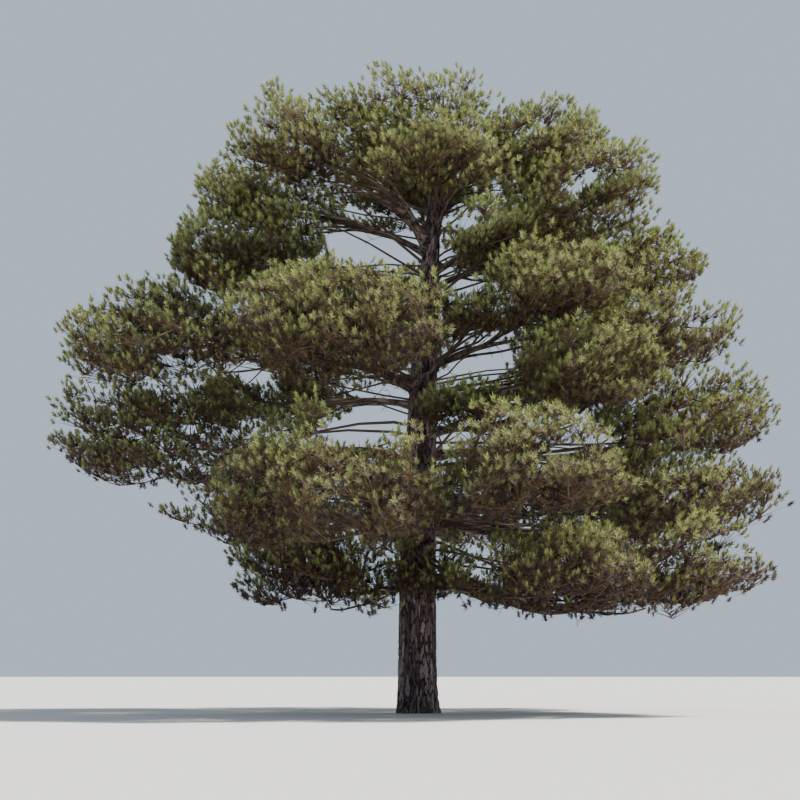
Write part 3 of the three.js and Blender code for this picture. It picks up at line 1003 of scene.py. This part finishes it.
def fitted_shoots(pad, spots, ways, rng):
    """Draws shoots in to the lumpy surface of their mass, and tells which have a place there."""
    lumps = edge_lumps * smooth_noise(spots / lump_size, lump_seed)
    inside = pad.inside(spots)
    down = np.clip(-inside[:, 2] / lengths(inside), 0, 1)
    edge = np.minimum(high_edge + lumps, furthest_edge) + low_edge * down
    spots = drawn_in(pad, spots, edge, tuft_bridge, rng)
    fine = own_places(pad, spots, edge, 0.0, tuft_bridge)
    fine &= spots[:, 2] > crown_bottom
    spots += ways * (leader_height * rng.uniform(0, 1, len(spots)) ** leader_rarity)[:, None]
    window_edge = ragged_window + ragged_spread * rng.normal(0, 1, len(spots))
    fine &= window_share(spots + ways * brush_reach) > window_edge
    heights = np.clip(spots[:, 2], 0, trunk_tip)
    away = lengths((spots - trunk_axis(heights))[:, :2])
    fine &= away > trunk_radius(heights) + trunk_gap
    return spots, fine


shoot_roots = (0.55, 1)
bud_reach = 0.13

thick_lines, side_lines, shoot_lines, bare_lines = [], [], [], []
thick_radii = []
tuft_places, tuft_ways, tuft_heights, tuft_rises, tuft_twigs, tip_depths = [], [], [], [], [], []
for pad in pads:
    rng = np.random.default_rng(twig_seeds + pad.index)
    stem = stem_curve(pad)
    foot_thick = trunk_radius(trunk_tip) if pad.more.get("on") == "tip" else bough_tip_radius
    thick_lines.append(bezier(stem, line_steps))
    thick_radii.append(foot_thick + (stem_radius - foot_thick) * line_steps)

    draw = seeded(pad.index)
    count = max(fewest_tips, math.floor(pad.area * tips_per_square_metre + 0.5))
    stem_line = [stem[0], bezier(stem, 0.5), stem[2]]
    forks = list(zip(stem_line, [0] + [np.linalg.norm(p - stem[0]) for p in stem_line[1:]]))
    grown = list(forks)
    for curve in grow_twigs(forks, tip_places(pad, count, draw)):
        tip = curve[2]
        if not own_places(pad, tip, pad_edge, own_margin)[0] or window_share(tip)[0] <= ragged_window:
            continue
        thick_lines.append(held_up(bezier(curve, line_steps)))
        thick_radii.append(main_twig_radius + (main_twig_end - main_twig_radius) * line_steps)
        back = np.linalg.norm(curve[0] - stem[0])
        for part in main_forks:
            grown.append((bezier(curve, part), back + part * np.linalg.norm(tip - curve[0])))

    if pad.name in bough_curves:
        points, length, root_radius = bough_curves[pad.name]
        for curve, reach in side_limbs[pad.name]:
            for part in side_limb_forks:
                grown.append((bezier(curve, part), (1 - part) * reach))
        side = 1 if rng.uniform() < 0.5 else -1
        for share in branch_starts:
            side = -side
            curve = branch_curve(pad, points, share, side, rng)
            thick_lines.append(held_up(bezier(curve, line_steps)))
            radius = root_radius + (bough_tip_radius - root_radius) * share ** bough_taper
            thick_radii.append(thinning(branch_radius * radius))
            for part in branch_forks:
                grown.append((bezier(curve, part), (1 - share) * length * fork_detour))
        for number in range(slender_limbs):
            curve = slender_curve(pad, points, number, rng)
            line = bezier(curve, line_steps)
            line[1:-1] += rng.normal(0, slender_crook, line[1:-1].shape)
            thick_lines.append(held_up(line))
            thick_radii.append(thinning(rng.uniform(*slender_radius)))
            for part in slender_forks:
                grown.append((bezier(curve, part), (1 - part) * length * fork_detour))
        for share in rng.uniform(*bare_starts, bare_twigs_per_bough):
            bare_lines += bare_twig(points, share, rng)

    tips = side_tips(pad, round(pad.area * side_tips_per_square_metre), rng)
    for curve in grow_twigs(grown, tips, side_twig_sag):
        spots, ways, rises = fan_of_shoots(curve, pad.sizes[1], rng)
        spots, fine = fitted_shoots(pad, spots, ways, rng)
        spots, ways = spots[fine], ways[fine]
        starts = bezier(curve, rng.uniform(*shoot_roots, len(spots)))
        shoot_lines.append(np.stack([starts, spots + ways * bud_reach], axis=1))
        side_lines.append(bezier(curve, side_steps))
        tuft_rises.append(rises[fine])
        tuft_places.append(spots)
        tuft_ways.append(ways)
        tuft_heights.append(pad.inside(spots))
        tuft_twigs.append(np.full(len(spots), len(tip_depths)))
        tip_depths.append(pad.share(curve[2])[0])

# A brush with few others round it would hang alone outside the crown, so it is left out. So is a side twig
# that bears few brushes, except deep inside a mass, or that reaches past its mass with little round it.
company_reach = 0.55
least_company = 13
fewest_brushes = 5
bare_depth = 0.62
bridge_company = 18

spots = np.concatenate(tuft_places)
finder = KDTree(len(spots))
for number, spot in enumerate(spots):
    finder.insert(spot, number)
finder.balance()
company = np.array([len(finder.find_range(spot, company_reach)) for spot in spots])
accompanied = company >= least_company
brush_twigs = np.concatenate(tuft_twigs)
tip_depths = np.array(tip_depths)
brushes_borne = np.bincount(brush_twigs[accompanied], minlength=len(tip_depths))
company_borne = np.bincount(brush_twigs, weights=company * accompanied, minlength=len(tip_depths))
lonely_bridge = (tip_depths > tip_edge) & (company_borne < bridge_company * brushes_borne)
twigs_kept = (brushes_borne >= fewest_brushes) & ~lonely_bridge | (tip_depths < bare_depth)
accompanied &= twigs_kept[brush_twigs]

branch_sides = 5
twig_sides = 3
side_twig_radius = 0.013
side_twig_end = 0.006
thicker_per_metre = 0.009
shoot_radius = 0.012
upper_crown = 8.9
mass_nodes = ["needles_" + pad.name for pad in pads]

twig_wood = plain_material("twig_wood", (0.125, 0.088, 0.070), 0.85, 0.2)
shoot_wood = plain_material("shoot_wood", (0.115, 0.072, 0.042), 0.8, 0.25)
main_part = spikes(np.array(thick_lines), np.array(thick_radii), branch_sides)
side_array = np.array(side_lines)[twigs_kept]
side_roots = side_twig_radius + thicker_per_metre * lengths(side_array[:, -1] - side_array[:, 0])
side_radii = side_roots[:, None] + (side_twig_end - side_roots[:, None]) * side_steps
side_part = spikes(side_array, side_radii, twig_sides)
bare_radii = np.tile(bare_radius * (1 - bare_taper * side_steps), (len(bare_lines), 1))
bare_part = spikes(np.array(bare_lines), bare_radii, twig_sides)
shoot_array = np.concatenate(shoot_lines)[accompanied]
upper = shoot_array[:, 1, 2] > upper_crown
parts = [("twigs", joined([main_part, side_part, bare_part]), twig_wood)]
for name, level in (("shoots_low", ~upper), ("shoots_high", upper)):
    lines = shoot_array[level]
    shoot_part = spikes(lines, np.full(lines.shape[:2], shoot_radius), twig_sides)
    parts.append((name, shoot_part, shoot_wood))
for name, part, material in parts:
    twigs = piece_of(name, *part, material)
    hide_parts(*mass_nodes)
    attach(twigs, "root")


# The needles. Stiff, in upright brushes round the end of each shoot, and fewer but larger inside a mass.
# Tops and tips that stand in the light are dealt a fresh yellow green as painted light, and lower and
# deeper brushes duller and browner, partly as older needles and partly as painted shade. The lower needles
# of a brush are darker than its upper ones, partly as older needles and partly as painted shade.

needle_kinds = [(20, 0.104, 0.034), (14, 0.18, 0.05), (12, 0.26, 0.072)]  # number, length and width
kind_depths = (0.56, 0.42)
brush_length = 0.1
needle_lean = (78, 18)
needle_lean_power = 1.5
needle_lean_vary = 9
needle_turn_vary = 0.2
needle_vary = (0.8, 1.15)
needle_root = 0.007
brush_seed = 77
brush_kinds = 12
brush_vary = 0.16
outer_swell = 0.18
swell_from = 0.7
swell_over = 0.3
lower_part = 0.4
# How many colours darker the lower needles of a brush are: painted shade, partly also older needles.
lower_painted_shade_steps = 2

# Painted light and shade, and the age of inner needles: brushes high in their mass, far out in it, high in
# their fan and high above the ground are dealt lighter colours, and those low and inside darker ones. The
# patch and spread weights vary the tone at random.
painted_light_by_height = 0.22
age_and_painted_light_by_depth = 0.45
painted_light_by_rise = 0.42
light_by_patch = 0.14
painted_light_by_metre = 0.03
light_vary = 0.15
patch_detail = 0.8
patch_seed = 41
colour_shares = (0.27, 0.28, 0.19, 0.12, 0.08, 0.06)

# From light to dark. The darker colours are partly older needles and partly painted shade.
needle_colours = [
    ("fresh", (0.340, 0.375, 0.138)),
    ("green", (0.268, 0.296, 0.114)),
    ("olive", (0.238, 0.238, 0.100)),
    ("dull", (0.190, 0.168, 0.082)),
    ("brown", (0.142, 0.102, 0.072)),
    ("deep", (0.084, 0.056, 0.056)),
]


def brush(number, length, width, rng):
    """One brush of needles on +Z: a triangle for each, turned on round the shoot as they really grow."""
    k = np.arange(number)
    up_share = (k + 0.5) / number
    angle = k * golden_angle + rng.normal(0, needle_turn_vary, number)
    lean = needle_lean[0] + (needle_lean[1] - needle_lean[0]) * up_share ** needle_lean_power
    lean = np.radians(lean + rng.normal(0, needle_lean_vary, number))
    reach = length * rng.uniform(*needle_vary, number)
    out = np.column_stack([np.cos(angle), np.sin(angle), 0 * angle])
    side = np.column_stack([-np.sin(angle), np.cos(angle), 0 * angle])
    root = out * needle_root + up_share[:, None] * brush_length * upward
    tip = root + reach[:, None] * (np.sin(lean)[:, None] * out + np.cos(lean)[:, None] * upward)
    places = np.stack([root - side * width / 2, root + side * width / 2, tip], axis=1)
    return places.reshape(-1, 3)


rng = np.random.default_rng(brush_seed)
brushes = [[brush(*sizes, rng) for _ in range(brush_kinds)] for sizes in needle_kinds]
spots = spots[accompanied]
ways = np.concatenate(tuft_ways)[accompanied]
shares = np.concatenate(tuft_heights)[accompanied]
count = len(spots)
spin = rng.uniform(0, 2 * math.pi, count)
size = rng.uniform(1 - brush_vary, 1 + brush_vary, count)
kind = rng.integers(0, brush_kinds, count)
across = units(np.cross(ways, np.array([0.31, 0.22, 0.1])))
beside = np.cross(ways, across)
first = np.cos(spin)[:, None] * across + np.sin(spin)[:, None] * beside
second = np.cross(ways, first)

depth = lengths(shares)
size *= 1 + outer_swell * np.clip((depth - swell_from) / swell_over, 0, 1)
patch = smooth_noise(spots * patch_detail, patch_seed)
rises = np.concatenate(tuft_rises)[accompanied]
layer = np.searchsorted(-np.array(kind_depths), -depth)
# Each brush's rank from light to dark: painted light on tops and painted shade below and within, with the
# older inner needles and some random tone.
age_and_painted_light = painted_light_by_height * shares[:, 2] + age_and_painted_light_by_depth * depth + painted_light_by_rise * rises
age_and_painted_light = age_and_painted_light + light_by_patch * patch + painted_light_by_metre * spots[:, 2] + rng.normal(0, light_vary, count)
ranks = np.argsort(np.argsort(-age_and_painted_light)) / count
tint = np.searchsorted(np.cumsum(colour_shares)[:-1], ranks)
high = spots[:, 2] > upper_crown


def placed_needles(chosen, shape, lower):
    """The upper or the lower needles of the chosen brushes, which have one shape, each at its place."""
    split = 3 * round(lower_part * len(shape) / 3)
    shape = shape[:split] if lower else shape[split:]
    scaled = shape[None] * size[chosen][:, None, None]
    placed = (
        spots[chosen][:, None]
        + scaled[..., :1] * first[chosen][:, None]
        + scaled[..., 1:2] * second[chosen][:, None]
        + scaled[..., 2:] * ways[chosen][:, None]
    )
    return placed.reshape(-1, 3)


# The lower needles of each brush are dealt a darker colour: painted shade, partly also older needles.
lower_shaded_tint = np.minimum(tint + lower_painted_shade_steps, len(needle_colours) - 1)
for index, (label, colour) in enumerate(needle_colours):
    material = plain_material("needles_" + label, colour, 0.7, 0.16)
    for storey, level in (("low", ~high), ("high", high)):
        groups = []
        for depth_layer, which in itertools.product(range(len(needle_kinds)), range(brush_kinds)):
            shaped = (layer == depth_layer) & (kind == which) & level
            shape = brushes[depth_layer][which]
            groups.append(placed_needles(shaped & (tint == index), shape, lower=False))
            groups.append(placed_needles(shaped & (lower_shaded_tint == index), shape, lower=True))
        places = np.concatenate(groups)
        faces = np.arange(len(places)).reshape(-1, 3)
        needles = piece_of(f"needles_{label}_{storey}", places, faces, material)
        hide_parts(*mass_nodes)
        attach(needles, "root")


# The studio: a pale floor that runs to the horizon, a large soft sun from the upper right, and an even
# pale sky. The camera stands 45 m in front of the tree, at a child's height, and looks up at it.

floor_radius = 400
sun_strength = 9.2
sun_width = 7
sun_tilt = 34
sun_turn = 104
sky_strength = 0.85
focal_length = 79.3
upward_look = 8.8

bpy.ops.object.select_all(action="DESELECT")
bpy.ops.mesh.primitive_circle_add(vertices=96, radius=floor_radius, fill_type="NGON")
floor = bpy.context.object
floor.name = "floor"
floor.data.materials.append(plain_material("floor_paint", (0.62, 0.61, 0.58), 0.9, 0.1))

sun_data = bpy.data.lights.new("key", "SUN")
sun_data.energy = sun_strength
sun_data.angle = math.radians(sun_width)
sun_data.color = (1.0, 0.955, 0.88)
sun = bpy.data.objects.new("key", sun_data)
sun.rotation_euler = (math.radians(sun_tilt), 0, math.radians(sun_turn))
bpy.context.scene.collection.objects.link(sun)

world = bpy.data.worlds.new("studio")
bpy.context.scene.world = world
world.use_nodes = True
sky = world.node_tree.nodes["Background"]
sky.inputs["Color"].default_value = (0.60, 0.72, 0.86, 1)
sky.inputs["Strength"].default_value = sky_strength

camera_data = bpy.data.cameras.new("camera")
camera_data.sensor_width = 36
camera_data.lens = focal_length
camera_data.clip_end = 2000
camera = bpy.data.objects.new("camera", camera_data)
camera.location = viewer
camera.rotation_euler = (math.radians(90 + upward_look), 0, 0)
bpy.context.scene.collection.objects.link(camera)
bpy.context.scene.camera = camera
